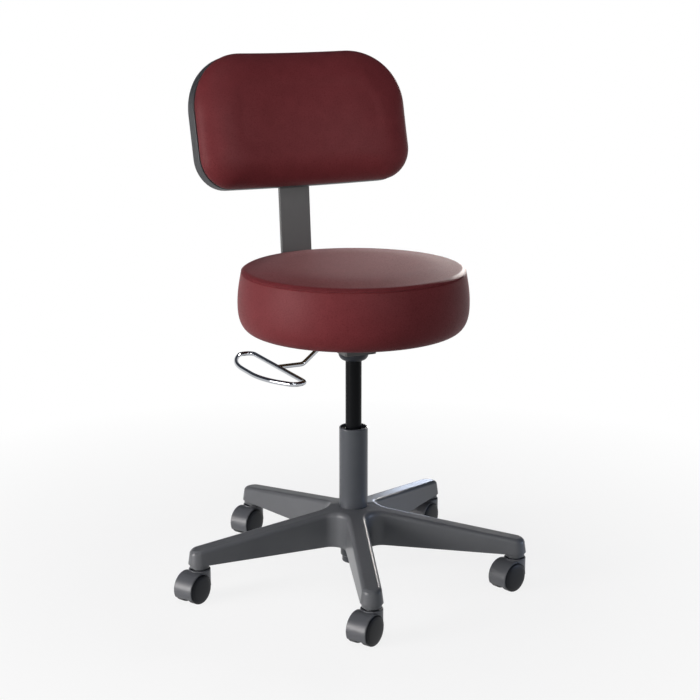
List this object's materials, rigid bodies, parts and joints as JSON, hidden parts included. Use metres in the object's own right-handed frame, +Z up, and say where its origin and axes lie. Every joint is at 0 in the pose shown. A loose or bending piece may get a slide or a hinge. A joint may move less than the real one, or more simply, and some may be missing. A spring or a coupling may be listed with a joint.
{
  "type": "exam stool",
  "caption": "Round upholstered exam stool with a padded back on a bent flat bar, gas-lift column, wire release lever and a moulded star base on hooded casters.",
  "frame": {"origin": "on the floor, under the middle of the object's bounding box", "axes": "+Z up; the sitter faces -Y, the back support stands at +Y and the release lever is at -X"},
  "size_m": [0.6052, 0.615, 0.9169],
  "materials": {
    "base_nylon": "satin moulded nylon",
    "hood_nylon": "semi-gloss moulded nylon",
    "wheel_nylon": "satin moulded nylon",
    "acetal": "plain moulded acetal",
    "shell_plastic": "fine-textured polypropylene",
    "tube_paint": "satin grey enamel on steel",
    "black_paint": "semi-gloss black enamel on steel",
    "frame_paint": "black powder coat on steel",
    "bar_paint": "grey powder coat on flat steel",
    "chrome_wire": "bright chrome plate",
    "ground_steel": "ground",
    "bearing_steel": "turned",
    "spring_steel": "oiled spring steel",
    "zinc_plate": "zinc plated",
    "plywood": "raw plywood",
    "vinyl": "burgundy upholstery vinyl over foam"
  },
  "bodies": {
    "base": {"base_star": "base_nylon", "column_tube": "tube_paint", "guide_bush": "acetal", "thrust_bearing": "bearing_steel", "caster_stem_1": "zinc_plate", "caster_stem_2": "zinc_plate", "caster_stem_3": "zinc_plate", "caster_stem_4": "zinc_plate", "caster_stem_5": "zinc_plate"},
    "piston": {"piston_rod": "ground_steel", "retaining_clip": "spring_steel"},
    "seat": {"gas_cylinder": "black_paint", "cylinder_socket": "frame_paint", "seat_channel": "frame_paint", "lever_bush": "acetal", "seat_board": "plywood", "seat_cushion": "vinyl", "channel_bolt_1": "zinc_plate", "channel_bolt_2": "zinc_plate", "channel_bolt_3": "zinc_plate", "channel_bolt_4": "zinc_plate", "back_bar": "bar_paint", "bar_bolt_1": "zinc_plate", "bar_bolt_2": "zinc_plate", "back_shell": "shell_plastic", "back_board": "plywood", "back_pad": "vinyl", "back_bolt_1": "zinc_plate", "back_bolt_2": "zinc_plate"},
    "lever": {"release_lever": "chrome_wire"},
    "button": {"valve_button": "bearing_steel"},
    "caster_1": {"caster_hood_1": "hood_nylon", "caster_axle_1": "ground_steel"},
    "wheel_1_left": {"caster_wheel_1_left": "wheel_nylon"},
    "wheel_1_right": {"caster_wheel_1_right": "wheel_nylon"},
    "caster_2": {"caster_hood_2": "hood_nylon", "caster_axle_2": "ground_steel"},
    "wheel_2_left": {"caster_wheel_2_left": "wheel_nylon"},
    "wheel_2_right": {"caster_wheel_2_right": "wheel_nylon"},
    "caster_3": {"caster_hood_3": "hood_nylon", "caster_axle_3": "ground_steel"},
    "wheel_3_left": {"caster_wheel_3_left": "wheel_nylon"},
    "wheel_3_right": {"caster_wheel_3_right": "wheel_nylon"},
    "caster_4": {"caster_hood_4": "hood_nylon", "caster_axle_4": "ground_steel"},
    "wheel_4_left": {"caster_wheel_4_left": "wheel_nylon"},
    "wheel_4_right": {"caster_wheel_4_right": "wheel_nylon"},
    "caster_5": {"caster_hood_5": "hood_nylon", "caster_axle_5": "ground_steel"},
    "wheel_5_left": {"caster_wheel_5_left": "wheel_nylon"},
    "wheel_5_right": {"caster_wheel_5_right": "wheel_nylon"}
  },
  "joints": [
    {"name": "seat_swivel", "type": "hinge", "parent": "base", "child": "piston", "pos_m": [0.03966, 0.00551, 0.036], "axis": [0, 0, 1], "continuous": true},
    {"name": "seat_lift", "type": "slide", "parent": "piston", "child": "seat", "axis": [0, 0, 1], "range_m": [-0.108, 0.012]},
    {"name": "release_lever", "type": "hinge", "parent": "seat", "child": "lever", "pos_m": [0.01191, 0.00551, 0.4377], "axis": [0, 1, 0], "range_deg": [0, 6], "stiffness_Nm_per_rad": 10, "springref_deg": -8.59},
    {"name": "valve_button", "type": "slide", "parent": "seat", "child": "button", "axis": [0, 0, 1], "range_m": [-0.003, 0]},
    {"name": "caster_swivel_1", "type": "hinge", "parent": "base", "child": "caster_1", "pos_m": [-0.06308, -0.26782, 0.05], "axis": [0, 0, 1], "continuous": true},
    {"name": "caster_roll_1_left", "type": "hinge", "parent": "caster_1", "child": "wheel_1_left", "pos_m": [-0.0804, -0.27742, 0.0257], "axis": [0.4848, -0.8746, 0], "continuous": true},
    {"name": "caster_roll_1_right", "type": "hinge", "parent": "caster_1", "child": "wheel_1_right", "pos_m": [-0.0804, -0.27742, 0.0257], "axis": [0.4848, -0.8746, 0], "continuous": true},
    {"name": "caster_swivel_2", "type": "hinge", "parent": "base", "child": "caster_2", "pos_m": [0.26786, -0.17667, 0.05], "axis": [0, 0, 1], "continuous": true},
    {"name": "caster_roll_2_left", "type": "hinge", "parent": "caster_2", "child": "wheel_2_left", "pos_m": [0.24892, -0.18246, 0.0257], "axis": [0.2924, -0.9563, 0], "continuous": true},
    {"name": "caster_roll_2_right", "type": "hinge", "parent": "caster_2", "child": "wheel_2_right", "pos_m": [0.24892, -0.18246, 0.0257], "axis": [0.2924, -0.9563, 0], "continuous": true},
    {"name": "caster_swivel_3", "type": "hinge", "parent": "base", "child": "caster_3", "pos_m": [0.28343, 0.16625, 0.05], "axis": [0, 0, 1], "continuous": true},
    {"name": "caster_roll_3_left", "type": "hinge", "parent": "caster_3", "child": "wheel_3_left", "pos_m": [0.26611, 0.15665, 0.0257], "axis": [0.4848, -0.8746, 0], "continuous": true},
    {"name": "caster_roll_3_right", "type": "hinge", "parent": "caster_3", "child": "wheel_3_right", "pos_m": [0.26611, 0.15665, 0.0257], "axis": [0.4848, -0.8746, 0], "continuous": true},
    {"name": "caster_swivel_4", "type": "hinge", "parent": "base", "child": "caster_4", "pos_m": [-0.03789, 0.28702, 0.05], "axis": [0, 0, 1], "continuous": true},
    {"name": "caster_roll_4_left", "type": "hinge", "parent": "caster_4", "child": "wheel_4_left", "pos_m": [-0.0552, 0.27742, 0.0257], "axis": [0.4848, -0.8746, 0], "continuous": true},
    {"name": "caster_roll_4_right", "type": "hinge", "parent": "caster_4", "child": "wheel_4_right", "pos_m": [-0.0552, 0.27742, 0.0257], "axis": [0.4848, -0.8746, 0], "continuous": true},
    {"name": "caster_swivel_5", "type": "hinge", "parent": "base", "child": "caster_5", "pos_m": [-0.25204, 0.01875, 0.05], "axis": [0, 0, 1], "continuous": true},
    {"name": "caster_roll_5_left", "type": "hinge", "parent": "caster_5", "child": "wheel_5_left", "pos_m": [-0.26936, 0.00915, 0.0257], "axis": [0.4848, -0.8746, 0], "continuous": true},
    {"name": "caster_roll_5_right", "type": "hinge", "parent": "caster_5", "child": "wheel_5_right", "pos_m": [-0.26936, 0.00915, 0.0257], "axis": [0.4848, -0.8746, 0], "continuous": true}
  ],
  "couplings": [
    {"joint": "valve_button", "follows": "release_lever", "m_per_rad": -0.02775}
  ]
}
